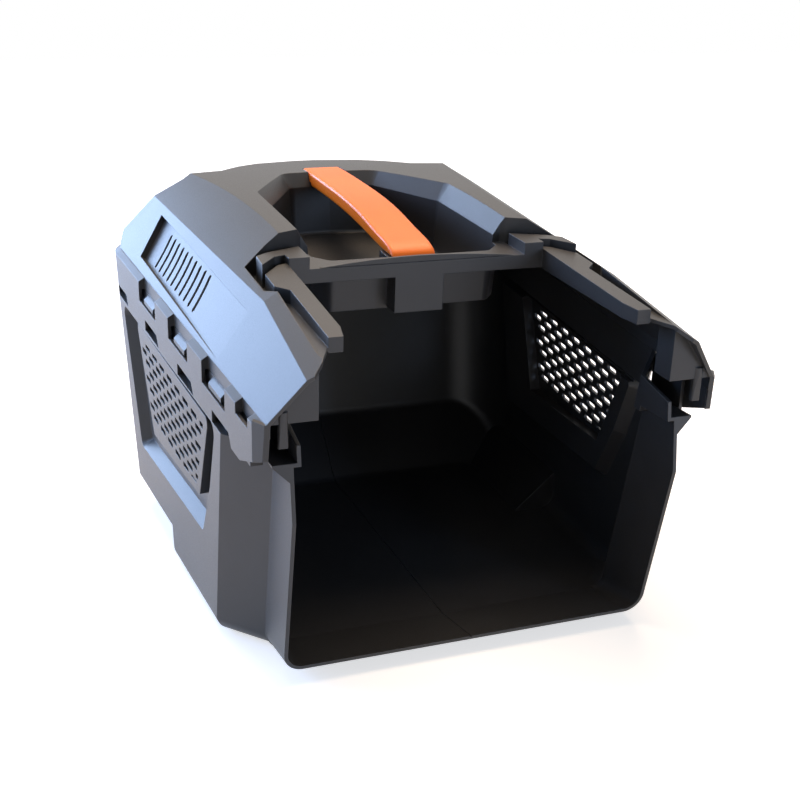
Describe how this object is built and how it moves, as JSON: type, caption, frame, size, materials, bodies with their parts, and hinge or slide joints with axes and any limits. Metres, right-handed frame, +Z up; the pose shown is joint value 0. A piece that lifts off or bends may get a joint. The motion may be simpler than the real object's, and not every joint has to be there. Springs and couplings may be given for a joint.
{
  "type": "mower grass box",
  "caption": "Hard plastic grass box of a walk-behind mower: open mouth, side grilles, removable top cover with a hand bowl and a strap-shaped carry handle.",
  "frame": {"origin": "centre of the flat bottom that the box stands on, on the mirror plane", "axes": "+Z up, +Y from the mouth to the back, +X to the right of a person looking into the mouth"},
  "size_m": [0.376, 0.4771, 0.2971],
  "materials": {
    "black_plastic": "satin, fine moulded grain",
    "orange_plastic": "satin",
    "zinc_steel": "zinc plated"
  },
  "bodies": {
    "root": {"lower_left": "black_plastic", "lower_right": "black_plastic", "top_cover": "black_plastic", "carry_handle": "orange_plastic", "handle_screws": "zinc_steel"}
  },
  "joints": []
}
